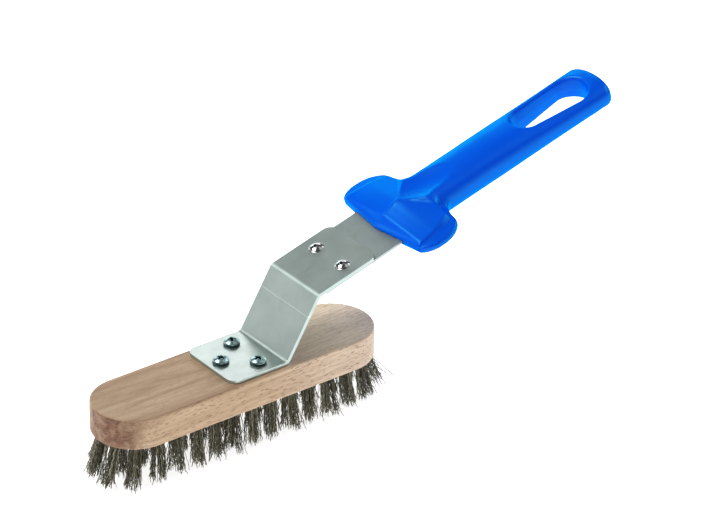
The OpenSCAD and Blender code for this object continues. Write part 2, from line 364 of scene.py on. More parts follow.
def bands_with_painted_light(s, top, x):
    """Long soft growth bands, with painted light: lighter towards the heel, lightest on its top.
    """
    bands = s.noise((0.010, 0.10, 0.17), 3, turn=(0, 0.03, 0.02), distortion=1.2)
    warm = s.ramp(bands, (0.32, (0.42, 0.265, 0.150)), (0.50, (0.59, 0.415, 0.255)),
                  (0.66, (0.69, 0.51, 0.335)))
    # Painted light: lighter towards the heel on every face, lightest and warmest on the heel's
    # top.
    heel_painted_light = s.mix(s.band(x, -5.0, 65.0, 0.0, 0.55), warm, (0.93, 0.78, 0.62))
    heel_top_light = s.math("MULTIPLY", top, s.band(x, 20.0, 60.0, 0.0, 0.8))
    return s.mix(heel_top_light, heel_painted_light, (1.0, 0.81, 0.55))


def wood_marks(s, wood, top, streak, fine, fleck):
    """Streaks, fine lines and dots, and patches of ray flecks that are weaker on the top."""
    tiny = s.band(s.cells((0.30, 2.3, 2.3)), 0.10, 0.28, 1.0, 0.0)
    patchy = s.band(s.noise((0.10, 0.35, 0.35), 2, 0.55), 0.34, 0.54, 0.25, 1.0)
    streaked = s.mix(s.band(streak, 0.35, 0.70, 0.0, 0.45), wood, (0.45, 0.285, 0.18))
    lined = s.mix(s.band(fine, 0.48, 0.72, 0.0, 0.42), streaked, (0.37, 0.22, 0.13))
    dotted = s.mix(s.math("MULTIPLY", tiny, 0.34), lined, (0.30, 0.165, 0.09))
    weight = s.math("MULTIPLY", patchy, s.band(top, 0.0, 1.0, 1.0, 0.45))
    return s.mix(s.math("MULTIPLY", fleck, weight), dotted, (0.22, 0.11, 0.055))


def end_grain(s, wood):
    """Dark reddish end grain with rings, where the surface faces along the grain."""
    end = s.band(s.math("ABSOLUTE", s.facing(GRAIN)), 0.50, 0.92)
    blotch = s.band(s.noise((0.3, 0.22, 0.22), 3), 0.35, 0.65, 0.65, 1.0)
    rings = s.band(s.noise((0.5, 0.45, 3.0), 3, turn=(0.35, 0, 0)), 0.42, 0.60)
    ringed = s.mix(rings, (0.22, 0.088, 0.034), (0.09, 0.028, 0.009))
    return s.mix(s.math("MULTIPLY", end, blotch), wood, ringed)


def beech():
    """Unvarnished beech: soft growth bands, short dark ray flecks, darker end grain."""
    s = Shader("beech")
    top = s.band(s.facing((0, 0, 1)), 0.5, 0.9)
    x = s.coordinate("X")
    streak = s.noise((0.072, 1.2, 1.2), 5, 0.65)
    fine = s.noise((0.09, 2.6, 2.6), 4, 0.7, turn=(0, 0.01, 0.025))
    fleck = s.band(s.cells((0.20, 1.35, 1.35), turn=(0, 0.02, 0.03)), 0.15, 0.36, 1.0, 0.0)
    marked = wood_marks(s, bands_with_painted_light(s, top, x), top, streak, fine, fleck)
    # Painted shade: the top turns grey and darker towards the nose.
    nose_top_shade_mask = s.math("MULTIPLY", top, s.band(x, 0.0, 70.0, 1.0, 0.0))
    nose_top_painted_shade = s.mix(nose_top_shade_mask, marked, (0.76, 0.735, 0.72), "MULTIPLY")
    relief = s.math("ADD", s.math("MULTIPLY", streak, 0.6), s.math("MULTIPLY", fleck, -0.6))
    fuzz = s.math("ADD", relief, s.math("MULTIPLY", fine, -0.5))
    s.set(Base_Color=end_grain(s, nose_top_painted_shade), Roughness=s.band(streak, 0.3, 0.7, 0.48, 0.64),
          Specular_IOR_Level=0.5, Normal=s.bump(fuzz, 0.14, 0.6))
    return s.material


# ---------------------------------------------------------------- metals and plastic

SCRIBE_UP = 25.5    # scribed line, from the riser's lower sharp corner


def scribed_line(s, wander):
    """Strength of one thin line across the riser, which wanders up and down a little."""
    height = s.math("ADD", s.coordinate("Z"), s.band(wander, 0.2, 0.8, -0.25, 0.25))
    line_z = foot_top + SCRIBE_UP * math.sin(RISER_ANGLE)
    away = s.math("ABSOLUTE", s.math("SUBTRACT", height, line_z))
    return s.band(away, 0.10, 0.34, 1.0, 0.0)


def zinc_sheet():
    """Satin zinc-plated sheet, rolled along its length, with one scribed line on the riser."""
    s = Shader("zinc_sheet")
    rolled = s.noise((0.06, 2.2, 0.06), 4, 0.7)
    cloud = s.noise(0.07, 3)
    speck = s.noise(1.6, 2)
    zinc = s.ramp(cloud, (0.32, (0.435, 0.515, 0.485)), (0.70, (0.505, 0.595, 0.56)))
    line = scribed_line(s, cloud)
    broken = s.math("MULTIPLY", line, s.band(speck, 0.30, 0.55, 0.55, 1.0))
    scribed = s.mix(s.math("MULTIPLY", broken, 0.75), zinc, (0.70, 0.76, 0.74))
    grain = s.math("ADD", s.math("MULTIPLY", rolled, 0.6), s.math("MULTIPLY", speck, 0.4))
    relief = s.math("SUBTRACT", grain, s.math("MULTIPLY", line, 0.8))
    s.set(Base_Color=scribed, Metallic=1.0, Roughness=s.band(grain, 0.3, 0.7, 0.30, 0.44),
          Normal=s.bump(relief, 0.05, 0.5))
    return s.material


def tang_steel():
    """Plain rolled strip, a little darker and streakier than the bracket."""
    s = Shader("tang_steel")
    streak = s.noise((0.05, 1.8, 0.05), 5, 0.7, turn=(0, GRIP_ANGLE, 0))
    spots = s.noise(0.9, 3)
    steel = s.ramp(streak, (0.30, (0.38, 0.455, 0.44)), (0.70, (0.43, 0.51, 0.49)))
    s.set(Base_Color=steel, Metallic=1.0, Roughness=s.band(spots, 0.3, 0.7, 0.34, 0.46),
          Normal=s.bump(streak, 0.03, 0.3))
    return s.material


def handle_plastic():
    """Satin blue polypropylene with a fine moulded texture. A clear blue skin, which adds no
    gloss of its own, keeps the highlights blue as well."""
    s = Shader("handle_plastic")
    fine = s.noise(3.2, 3)
    wide = s.noise(0.06, 2, 0.5)
    blue = s.ramp(wide, (0.30, (0.0, 0.068, 0.77)), (0.70, (0.0, 0.077, 0.84)))
    s.set(Base_Color=blue, Roughness=s.band(fine, 0.3, 0.7, 0.30, 0.40),
          Specular_IOR_Level=0.80, Normal=s.bump(fine, 0.03, 0.45))
    s.set(Coat_Weight=1.0, Coat_IOR=1.0, Coat_Roughness=0.4, Coat_Tint=(0.15, 0.96, 1.0, 1))
    return s.material


def plated(name, dark, light, rough_low, rough_high, with_painted_shade=False):
    """Small metal parts. Those with painted shade darken with the tone that their mesh carries.
    """
    s = Shader(name)
    fine = s.noise(4.0, 2)
    colour = s.ramp(s.noise(0.7, 3), (0.30, dark), (0.70, light))
    if with_painted_shade:
        # Painted shade: the tone darkens the colour to a near-black teal.
        colour = s.mix(s.tone(), colour, (0.012, 0.03, 0.035))
    s.set(Base_Color=colour, Metallic=1.0,
          Roughness=s.band(fine, 0.3, 0.7, rough_low, rough_high),
          Normal=s.bump(fine, 0.02, 0.4))
    return s.material


def bristle_wire():
    """Dark drawn steel wire, each wire a little different, with painted glints in patches."""
    s = Shader("bristle_wire")
    painted_glints = s.noise((1.3, 1.3, 0.5), 2)
    base = s.ramp(s.tone(), (0.0, (0.04, 0.037, 0.024)), (0.5, (0.16, 0.150, 0.100)),
                  (1.0, (0.60, 0.57, 0.43)))
    # Painted highlight: lighter patches stand in for glints on the crimped wires.
    steel = s.mix(s.band(painted_glints, 0.50, 0.75, 0.0, 0.5), base, (0.55, 0.53, 0.45))
    s.set(Base_Color=steel, Metallic=0.85, Roughness=s.band(painted_glints, 0.3, 0.7, 0.30, 0.46))
    return s.material


# ---------------------------------------------------------------- handle
# Along the handle u runs from the guard's front, v across it, w up from its middle plane.

HANDLE_LEN = 152.0
GRID_LOW = (-1.5, -39.0, -11.0)
GRID_HIGH = (HANDLE_LEN + 1.5, 39.0, 11.0)
STEP, QUICK_STEP = 0.55, 0.9    # size of the surface's quads

GRIP_START = 6.0        # where the grip begins inside the guard
GRIP_END = 151.3        # its far end on the middle line
END_BOW = 2.4           # how far that end falls back at END_V from the middle line
END_V = 14.6
END_ROUND = 4.0
# The dish's lowest point, its radii towards the guard, towards the grip and across, its rim
DISH = dict(u=35.0, low=7.6, r_front=108.0, r_back=66.0, r_across=38.0, edge=0.5)
# The slot's two end circles, the rounding of its rims, and what it widens by over a half depth
SLOT = dict(u1=103.4, r1=8.4, u2=131.6, r2=10.9, edge=2.0, flare=0.5, flare_w=7.0)
MOUTH = dict(half_w=19.8, gap=0.2, depth=6)     # opening in the front that takes the tang

PAD_W = 29.5            # from the ridge out to the pad's edge
RIDGE_ROUND = 1.5
SIDE_DRAFT = 0.12       # how much the pad's sides lean in for each millimetre of height
FRONT_U = 6.4           # top edge of the pad's slanted front
FRONT_LEAN = 1.1        # how much that front comes forward for each millimetre down
FRONT_UNIT = 0.673      # turns the slanted front's value into a distance
PROW_U = 0.2            # front of the guard on the middle line
PROW_SLOPE = 0.137      # how much it falls back for each millimetre outwards
PROW_UNIT = 0.99        # turns its value into a distance
# The flange's half thickness at its outline, which grows inwards by its draft up to the most
FLANGE = dict(half_t=1.9, most=2.7, draft=0.12, edge=1.3)
PAD_FILLET = 1.6        # hollow between the pad and the flange
FRONT_EDGE = 0.6        # rounding of the pad's front corners
PROW_EDGE = 0.8         # rounding along the guard's front
GUARD_END = 40.0        # where the guard stops inside the grip

grip_half_width = [
    [8, 0.8], [17, 1.0], [19, 1.8], [20.5, 3.2], [22, 4.9], [24, 7.0], [26, 9.2], [28.5, 12.4],
    [31, 14.2], [35, 14.8], [48, 14.7], [62, 14.7], [80, 14.95], [100, 15.3], [120, 15.65],
    [138, 16.1], [152, 16.3]]
grip_half_depth = [
    [6, 4.0], [12, 7.0], [17, 8.8], [25, 9.5], [70, 9.5], [100, 8.7], [125, 7.8], [152, 7.0]]
grip_power = [[18, 6.0], [26, 4.6], [33, 2.8], [38, 2.5], [90, 2.5], [152, 2.8]]
neck_fillet = [[18, 0.8], [21, 1.5], [25, 3.0], [28, 3.4], [40, 3.5]]
flange_half_width = [
    [0, 30.3], [3, 31.8], [4.7, 33.1], [7.6, 35.2], [10, 36.2], [13.5, 36.9], [17, 36.9],
    [21, 36.4], [25, 34.9], [28, 32.9], [30.3, 30.6], [31.6, 27.6], [32.2, 24.0],
    [33.4, 20.2], [35.5, 16.0], [39, 9.0]]
pad_half_width = [
    [5, 31.4], [10, 30.9], [16, 30.1], [22, 29.1], [26, 28.2], [28.4, 26.9], [29.8, 23.5],
    [30.6, 18.5], [31.4, 14.0], [33.5, 9.0]]
ridge_height = [[0, 5.9], [6, 6.3], [12, 7.6], [18, 8.8], [30, 8.9], [41, 8.5]]
pad_edge_height = [[0, 3.5], [8, 3.7], [20, 4.1], [28, 4.2], [32, 3.4], [41, 3.0]]
pad_edge_round = [[16, 0.6], [22, 1.2], [27, 2.8], [40, 3.0]]


def grip_shape(u, v, w):
    """Rounded bar, nearly oval in section, with an upright prow that rises out of the guard."""
    least_q, least_slope = 0.2, 0.04    # keep the middle line's values finite
    half_w = curve(u, grip_half_width)
    half_d = curve(u, grip_half_depth)
    power = curve(u, grip_power)
    a = np.abs(v) / half_w
    b = np.abs(w) / half_d
    q = np.maximum((a ** power + b ** power) ** (1 / power), least_q)
    slope = q ** (1 - power) * np.hypot(a ** (power - 1) / half_w, b ** (power - 1) / half_d)
    side = (q - 1) / np.maximum(slope, least_slope)
    end = u - (GRIP_END - END_BOW * (v / END_V) ** 2)
    return np.maximum(cut(side, end, END_ROUND), GRIP_START - u)


def dish_shape(u, v, w):
    """Shallow leaf-shaped thumb rest hollowed out of the grip's top."""
    run = u - DISH["u"]
    rise = run ** 2 / (2 * np.where(run < 0, DISH["r_front"], DISH["r_back"]))
    return w - DISH["low"] - rise - v ** 2 / (2 * DISH["r_across"])


def slanted(x, knots, u):
    """Distance outside a plan outline whose half width changes along u."""
    h = 0.3
    turn = (curve(u + h, knots) - curve(u - h, knots)) / (2 * h)
    return (x - curve(u, knots)) / np.sqrt(1 + turn ** 2)


def guard_shape(u, v, w):
    """Finger guard: a roofed pad with steep edges on a thinner flange that runs all round."""
    a, b = np.abs(v), np.abs(w)
    ridge, edge = curve(u, ridge_height), curve(u, pad_edge_height)
    top = ridge - (ridge - edge) * (np.hypot(a, RIDGE_ROUND) - RIDGE_ROUND) / PAD_W
    side = slanted(a + SIDE_DRAFT * b, pad_half_width, u)
    front = (FRONT_U - FRONT_LEAN * (top - b) - u) * FRONT_UNIT
    prow = (PROW_U + PROW_SLOPE * a - u) * PROW_UNIT
    pad = cut(b - top, cut(side, front, FRONT_EDGE), curve(u, pad_edge_round))
    pad = cut(pad, prow, PROW_EDGE)
    outline = cut(slanted(a, flange_half_width, u), prow, PROW_EDGE)
    half_t = np.minimum(FLANGE["half_t"] - FLANGE["draft"] * outline, FLANGE["most"])
    flange = cut(b - half_t, outline, FLANGE["edge"])
    return np.maximum(join(pad, flange, PAD_FILLET), u - GUARD_END)


def slot_shape(u, v, w):
    """Tapered hanging slot with round ends, a little wider at the handle's faces."""
    run, grow = SLOT["u2"] - SLOT["u1"], SLOT["r2"] - SLOT["r1"]
    t = np.clip((u - SLOT["u1"]) / run, 0, 1)
    flare = SLOT["flare"]
    reach = SLOT["r1"] + grow * t - flare + flare * np.abs(w) / SLOT["flare_w"]
    return np.hypot(u - SLOT["u1"] - run * t, v) - reach


def handle_shape(u, v, w):
    """The whole moulding, open at its front where the tang goes in."""
    body = join(grip_shape(u, v, w), guard_shape(u, v, w), curve(u, neck_fillet))
    body = cut(body, dish_shape(u, v, w), DISH["edge"])
    body = cut(body, -slot_shape(u, v, w), SLOT["edge"])
    mouth = np.maximum(np.abs(v) - MOUTH["half_w"], np.abs(w) - TANG / 2 - MOUTH["gap"])
    return np.maximum(body, -np.maximum(mouth, u - MOUTH["depth"]))


def make_handle(material):
    """The blue moulding, as one continuous surface."""
    points, faces = surface(
        handle_shape, GRID_LOW, GRID_HIGH, STEP)
    new_mesh("handle_moulding", on_plate(points, handle_origin), faces, "handle",
             material)


# ---------------------------------------------------------------- tufts
# A place t along a wire runs from 0 at its root to 1 at its tip.

WIRES_PER_TUFT = 84
STRANDS = 6             # clumps that a tuft's wires fall into
RINGS = 30              # rings of points along a wire, and points in a ring
SIDES = 3
WIRE_D = 0.38
ROOT_DEPTH = 2.5        # how far below the tuft's own root its wires start
HOLE_R = 2.45           # radius of the tuft at its hole
BODY_R = 2.95           # and after its swell, which ends at SWELL_T
SWELL_T = 0.22
TIP_SPREAD = 0.35       # what spreading adds to the radius at the tip
CRIMP_LENGTH = 4.4
CRIMP_HEIGHT = 0.26
BOW_LENGTH = (0.5, 0.9)     # a wire's one long bow, as a share of its length
BOW_HEIGHT = 0.22
FLICK_T = 0.4           # share of a wire that its end flick takes
STRAY_SHARE = 0.06      # share of wires that stand out of the tuft
STRAY_REACH = 3.6
STRAND_TURN = 0.6       # limits of the even draws
STRAND_PLACE = (0.25, 0.95)
STRAND_LENGTH = (0.92, 1.0)
WIRE_LENGTH = (0.90, 1.0)
WIRE_THICKNESS = (0.85, 1.1)
WAVE_LENGTH = (0.88, 1.12)
WAVE_HEIGHT = (0.6, 1.2)
SCATTER = dict(place=0.42, drift=0.35, flick=0.8, stray=1.5, tuft=0.9, strand=0.75)
MEAN_LOSS = 0.8         # what a wire's tip has lost by wear, on average
TONE_SHAPE = (2.0, 3.0)     # more dark wires than bright ones
STRAND_DRIFT = 1.1      # how far a strand at the tuft's rim has spread at its tip
END_SPLAY = 2.4         # extra outward lean of the nose and heel tufts at their tips
STRAIGHT = 0.02         # a tuft whose axis leans less than this stands in a straight row
WORN_HEEL = dict(start=25, run=55, most=8.0)    # worn lean: from x, over x, at its most
WORN_NOSE = dict(start=45, run=40, most=2.6)
ROOT_SLICE = 1.5        # a CAD tuft's root and tip are read this near to its ends
TIP_SLICE = 0.01


def solid_of(points, edges):
    """For every point, a number that all points of its connected solid share."""
    _, welded = np.unique(points.round(3), axis=0, return_inverse=True)
    welded = welded.ravel()
    label = np.arange(welded.max() + 1)
    pairs = welded[edges]
    while True:
        before = label.copy()
        low = np.minimum(label[pairs[:, 0]], label[pairs[:, 1]])
        np.minimum.at(label, pairs[:, 0], low)
        np.minimum.at(label, pairs[:, 1], low)
        if (label == before).all():
            return label[welded]


def middle_of(points):
    """Middle of the box round some points."""
    return (points.max(0) + points.min(0)) / 2


def tufts_of(node):
    """Root and tip of every tuft of a CAD node, read from its separate solids."""
    mesh = frame["nodes"][node].data
    points = np.array([v.co for v in mesh.vertices]) / MM
    solid = solid_of(points, np.array([e.vertices[:] for e in mesh.edges]))
    found = []
    for number in np.unique(solid):
        part = points[solid == number]
        height = part[:, 2]
        root = part[height > height.max() - ROOT_SLICE]
        found.append((middle_of(root), middle_of(part[height < TIP_SLICE])))
    return sorted(found, key=lambda ends: tuple(ends[0]))


def frame_of(root, tip):
    """Directions along a tuft's wires and across them."""
    axis = (tip - root) / np.linalg.norm(tip - root)
    side = np.cross(axis, [0, 1, 0])
    side /= np.linalg.norm(side)
    return axis, side, np.cross(axis, side)


def worn_lean(x):
    """How far use has pushed the tips of the straight rows outward near the block's ends."""
    heel = np.clip((x - WORN_HEEL["start"]) / WORN_HEEL["run"], 0, 1)
    nose = np.clip((-x - WORN_NOSE["start"]) / WORN_NOSE["run"], 0, 1)
    return WORN_HEEL["most"] * heel ** 2 - WORN_NOSE["most"] * nose


def strands_of(root, axis):
    """A tuft's strands: where each stands, how far its tip drifts and how long it is."""
    push = worn_lean(root[0]) if abs(axis[0]) < STRAIGHT else math.copysign(END_SPLAY, root[0])
    lean = rng.normal(0, SCATTER["tuft"], 2) + [push, 0.0]
    strands = []
    for k in range(STRANDS):
        angle = 2 * math.pi * (k + rng.uniform(0, STRAND_TURN)) / STRANDS
        at = rng.uniform(*STRAND_PLACE) * np.array([math.cos(angle), math.sin(angle)])
        drift = lean + STRAND_DRIFT * at + rng.normal(0, SCATTER["strand"], 2)
        strands.append(dict(at=at, drift=drift, reach=rng.uniform(*STRAND_LENGTH)))
    return strands


def wire_path(t, length, strand):
    """Offsets across the tuft of one crimped wire, at places t."""
    place = strand["at"] + rng.normal(0, SCATTER["place"], 2)
    place /= max(1.0, np.linalg.norm(place))
    stray = rng.uniform() < STRAY_SHARE
    swell = np.clip(t / SWELL_T, 0, 1)
    swell = swell * swell * (3 - 2 * swell)
    radius = HOLE_R + (BODY_R - HOLE_R) * swell + TIP_SPREAD * t
    flick = np.clip(t / FLICK_T - (1 / FLICK_T - 1), 0, 1)
    path = np.outer(radius, place)
    path += np.outer(t ** 1.5, strand["drift"] + rng.normal(0, SCATTER["drift"], 2))
    path += np.outer(flick ** 2, rng.normal(0, SCATTER["flick"], 2))
    if stray:
        path += np.outer(t ** 2, STRAY_REACH * place + rng.normal(0, SCATTER["stray"], 2))
    bow_length = length * rng.uniform(*BOW_LENGTH)
    for wave, size in ((bow_length, BOW_HEIGHT), (CRIMP_LENGTH, CRIMP_HEIGHT)):
        turn = rng.uniform(0, 2 * math.pi)
        wave *= rng.uniform(*WAVE_LENGTH)
        size *= rng.uniform(*WAVE_HEIGHT)
        swing = size * np.sin(2 * math.pi * t * length / wave + rng.uniform(0, 2 * math.pi))
        path += np.outer(swing * np.clip(8 * t, 0, 1), [math.cos(turn), math.sin(turn)])
    return path


def tube_points(centre, side, r):
    """Rings of points round one wire's centre line."""
    spin = np.arange(SIDES) * 2 * math.pi / SIDES
    tangent = np.gradient(centre, axis=0)
    tangent /= np.linalg.norm(tangent, axis=1)[:, None]
    u = np.cross(tangent, side)
    u /= np.linalg.norm(u, axis=1)[:, None]
    v = np.cross(tangent, u)
    ring = centre[:, None, :] + r * (
        np.cos(spin)[None, :, None] * u[:, None, :]
        + np.sin(spin)[None, :, None] * v[:, None, :])
    return ring.reshape(-1, 3)


def wires(root, tip, count):
    """Crimped wires of one tuft: their ring points and a tone for each point."""
    axis, side, other = frame_of(root, tip)
    start = root + axis * ROOT_DEPTH
    length = start[2] / -axis[2]
    strands = strands_of(root, axis)
    t = np.linspace(0, 1, RINGS)
    points, tones = [], []
    for i in range(count):
        strand = strands[i % STRANDS]
        full = length * strand["reach"] * rng.uniform(*WIRE_LENGTH)
        reach = full - rng.exponential(MEAN_LOSS)
        offset = wire_path(t, reach, strand)
        centre = (start + np.outer(t * reach, axis)
                  + offset[:, :1] * side + offset[:, 1:2] * other)
        centre[:, 2] = np.maximum(centre[:, 2], WIRE_D / 2)
        points.append(tube_points(centre, side, WIRE_D / 2 * rng.uniform(*WIRE_THICKNESS)))
        tones.append(np.full(RINGS * SIDES, rng.beta(*TONE_SHAPE)))
    return np.concatenate(points), np.concatenate(tones)


def make_tufts(node, material):
    """Every wire of one row of tufts, as one piece."""
    count = WIRES_PER_TUFT
    tufts = [wires(root, tip, count) for root, tip in tufts_of(node)]
    points = np.concatenate([points for points, _ in tufts])
    tones = np.concatenate([tones for _, tones in tufts])
    tube = ring_quads(RINGS, SIDES)
    starts = np.arange(len(tufts) * count) * RINGS * SIDES
    faces = np.concatenate([tube + start for start in starts])
    new_mesh(node + "_wires", points, faces, node, material, tones)


# ---------------------------------------------------------------- screws

HEAD_R = 4.3
HEAD_H = 3.2
HEAD_RIM = 1.5          # height of the head's straight side
HEAD_EDGE = 0.45        # rounding between that side and the dome
SEAT_EDGE = 0.12        # rounding at the head's foot
SHANK = dict(r=2.1, length=11.4, point=4.0, core_r=1.35, pitch=1.8, plain=1.2, sunk=0.3)
THREAD = dict(height=0.75, slope=2.4, unit=0.8)     # the unit makes up for the thread's slope
# A draft or a fall is what a size gains for each millimetre of height
RECESS = dict(depth=1.75, arm_w=0.50, arm_draft=0.12, arm_reach=1.25, arm_fall=0.75,
              well_r=0.75, well_draft=0.35, fillet=0.15, edge=0.10)
# Painted shade on a screw head, in its cross recess and round the lower part of its side
SCREW_SHADE = dict(depth=0.8, r=3.4, skirt_z=0.1, skirt_h=0.5, skirt_most=0.9)
SCREW_TURNS = dict(screw_front=24, screw_left=62, screw_right=8)
SCREW_LOW, SCREW_HIGH = (-4.7, -4.7, -11.8), (4.7, 4.7, 3.7)
SCREW_STEP, QUICK_SCREW_STEP = 0.16, 0.30


def head_cap(x, y, z):
    """Distance above the domed top of a screw's head."""
    rise = HEAD_H - HEAD_RIM
    dome = (HEAD_R ** 2 + rise ** 2) / (2 * rise)
    return np.sqrt(x ** 2 + y ** 2 + (z - HEAD_H + dome) ** 2) - dome


def recess_shape(x, y, z):
    """Cross recess: four arms round a well, all wider towards the top."""
    a, b = np.abs(x), np.abs(y)
    up = z - (HEAD_H - RECESS["depth"])
    width, reach = RECESS["arm_draft"] * up, RECESS["arm_fall"] * up
    arm_a = np.maximum(b - RECESS["arm_w"] - width, a - RECESS["arm_reach"] - reach)
    arm_b = np.maximum(a - RECESS["arm_w"] - width, b - RECESS["arm_reach"] - reach)
    well = np.hypot(x, y) - RECESS["well_r"] - RECESS["well_draft"] * up
    floor = HEAD_H - RECESS["depth"] - z
    return np.maximum(join(np.minimum(arm_a, arm_b), well, RECESS["fillet"]), floor)


def shank_shape(x, y, z):
    """Plain neck over a thread that runs down to a point."""
    turn = z / SHANK["pitch"] - np.arctan2(y, x) / (2 * math.pi)
    ridge = np.abs(turn - np.round(turn)) * 2
    up = z + SHANK["length"]
    taper = np.where(z > -SHANK["length"] + SHANK["point"], SHANK["core_r"],
                     SHANK["core_r"] * up / SHANK["point"])
    thread = np.maximum(0.0, THREAD["height"] - THREAD["slope"] * ridge)
    threaded = taper + thread * np.clip(up / SHANK["point"], 0, 1)
    r = np.where(z > -SHANK["plain"], SHANK["r"], np.minimum(threaded, SHANK["r"]))
    side = (np.hypot(x, y) - r) * THREAD["unit"]
    return np.maximum(np.maximum(side, z - SHANK["sunk"]), -z - SHANK["length"])


def screw_shape(x, y, z):
    """Pan head with a cross recess over a threaded shank with a point."""
    head = cut(np.hypot(x, y) - HEAD_R, head_cap(x, y, z), HEAD_EDGE)
    head = cut(cut(head, -z, SEAT_EDGE), -recess_shape(x, y, z), RECESS["edge"])
    return np.minimum(head, shank_shape(x, y, z))


def screw_painted_shade(points):
    """Painted shade in the recess and round the lower part of the head."""
    in_recess = np.hypot(*points.T[:2]) < SCREW_SHADE["r"]
    recess = np.clip(-head_cap(*points.T) / SCREW_SHADE["depth"], 0, 1) * in_recess
    skirt = (HEAD_RIM - SCREW_SHADE["skirt_z"] - points[:, 2]) / SCREW_SHADE["skirt_h"]
    return np.maximum(recess, np.clip(skirt, 0, SCREW_SHADE["skirt_most"]))


def make_screws(material):
    """Each screw takes its place from its CAD node. The turn is where its recess came to rest."""
    step = SCREW_STEP
    points, faces = surface(screw_shape, SCREW_LOW, SCREW_HIGH, step)
    # Painted shade at each point: dark in the recess and round the foot of the head.
    painted_shade = screw_painted_shade(points)
    for node, turn in SCREW_TURNS.items():
        x, y, _ = middle_of(np.array(box_mm(node)))
        c, s = math.cos(math.radians(turn)), math.sin(math.radians(turn))
        spun = points @ np.array([[c, s, 0], [-s, c, 0], [0, 0, 1]])
        new_mesh(node + "_zinc", spun + [x, y, foot_top], faces, node, material,
                 painted_shade)


# ---------------------------------------------------------------- rivets

RIVET = dict(head_r=4.1, head_h=1.7, bore=1.1, shank=2.0, rim_h=0.25, bore_top=0.55,
             lip_r=0.28, lip_w=0.25, tail=3.0, tail_r=1.3, tail_z=1.5)
RIVET_SIDES = 64


def lathe(outline):
    """Surface of revolution about Z of a closed outline of [radius, height] points."""
    outline = np.array(outline, float)
    spin = np.arange(RIVET_SIDES) * 2 * math.pi / RIVET_SIDES
    rings = np.stack([
        np.outer(outline[:, 0], np.cos(spin)), np.outer(outline[:, 0], np.sin(spin)),
        np.outer(outline[:, 1], np.ones(RIVET_SIDES))], -1)
    return rings.reshape(-1, 3), ring_quads(len(outline), RIVET_SIDES)


def arc_points(centre, r, start, stop, steps):
    """Points of an arc between two angles in degrees."""
    angles = np.radians(np.linspace(start, stop, steps))
    return [[centre[0] + r * math.cos(a), centre[1] + r * math.sin(a)] for a in angles]


def rivet_outline():
    """Half section of a blind rivet: rolled bore lip, dome, rim, shank and swollen tail."""
    head_r, head_h, bore, shank = [RIVET[key] for key in ("head_r", "head_h", "bore", "shank")]
    lip = RIVET["lip_r"]
    dome = (head_r ** 2 + head_h ** 2) / (2 * head_h)
    centre = (0, head_h - dome)
    rim = math.degrees(math.asin((RIVET["rim_h"] - centre[1]) / dome))
    top = math.degrees(math.acos((bore + RIVET["lip_w"]) / dome))
    lip_z = centre[1] + dome * math.sin(math.radians(top)) - lip
    low = -(SHEET + TANG)
    tail = low - RIVET["tail"]
    outline = [[bore, tail], [bore, head_h - RIVET["bore_top"]]]
    outline += arc_points((bore + lip, lip_z), lip, 180, 90, 5)
    outline += arc_points(centre, dome, top, rim, 18)[1:]
    outline += [[head_r, 0.20], [head_r + 0.02, 0.08], [head_r - 0.08, 0.0]]
    outline += [[shank, 0.0], [shank, low]]
    outline += arc_points((shank + 0.1, low - RIVET["tail_z"]), RIVET["tail_r"], 80, -60, 10)
    outline += [[bore + 0.3, low - 3.05], [bore, tail]]
    return outline


def make_rivets(material):
    """Both rivets, square to the plate."""
    points, faces = lathe(rivet_outline())
    for node, side in (("rivet_left", 1), ("rivet_right", -1)):
        at = plate_corner + RIVET_S * along + side * RIVET_Y * across
        new_mesh(node + "_bright", on_plate(points, at), faces, node, material)


# ---------------------------------------------------------------- carried CAD nodes

WELD_GAP = 0.01
BEVEL_STEPS = 3
SHARP = math.radians(35)    # edges sharper than this are broken


def soften(node, width, material):
    """Welds a CAD node's split edges and breaks its sharp ones, by modifiers only."""
    obj = frame["nodes"][node]
    weld = obj.modifiers.new("weld", "WELD")
    weld.merge_threshold = WELD_GAP * MM
    if width:
        bevel = obj.modifiers.new("edge", "BEVEL")
        bevel.width = width * MM
        bevel.segments = BEVEL_STEPS
        bevel.limit_method = "ANGLE"
        bevel.angle_limit = SHARP
        bevel.harden_normals = True
    even = obj.modifiers.new("even", "WEIGHTED_NORMAL")
    even.keep_sharp = True
    obj.data.materials.clear()
    obj.data.materials.append(material)
    for polygon in obj.data.polygons:
        polygon.material_index = 0


# ---------------------------------------------------------------- studio
# The camera's distance, target and sensor are millimetres. Other lengths here are metres.

CAMERA = dict(azimuth=-37.443, elevation=29.559, roll=0.608, distance=2457.3,
              target=(72.74, -3.01, 81.64), focal_px=4818.0, clip_end=20)
IMAGE_W = 705
SENSOR = 36.0

WHITE = (1.0, 1.0, 1.0)
LIGHT_TARGET = Vector((0.10, 0, 0.07))
LIGHT_DISTANCE = 1.5
# Name, azimuth and elevation, width and height, brightness of the light's face, colour
LIGHTS = (
    ("key_left", 240, 54, (0.8, 0.6), 9.4, WHITE),
    ("key_top", 205, 68, (0.9, 0.5), 0.9, WHITE),
    ("overhead", 60, 66, (1.0, 0.8), 0.6, WHITE),
    ("right_high", 85, 34, (0.9, 0.6), 3.4, WHITE),
    ("back_right", 144, 28, (0.6, 0.42), 3.3, (1.0, 0.94, 0.97)),
    ("back", 166, 15, (0.7, 0.4), 3.9, (0.86, 1.0, 1.0)),
    ("back_low", 204, 5, (1.2, 0.32), 2.0, WHITE),
    ("back_left", 224, 22, (0.8, 0.2), 0.7, WHITE),
    ("left", -110, 42, (0.9, 0.7), 0.4, WHITE),
    ("front", -30, 16, (1.2, 0.6), 0.7, WHITE),
    ("right_low", 45, 12, (1.5, 0.6), 0.8, WHITE))

FILL = 0.10             # strength of the world as a light
BACKDROP = 1.0          # and as the camera sees it
FLOOR_REACH = 6.0
FLOOR_GLOW = 0.84


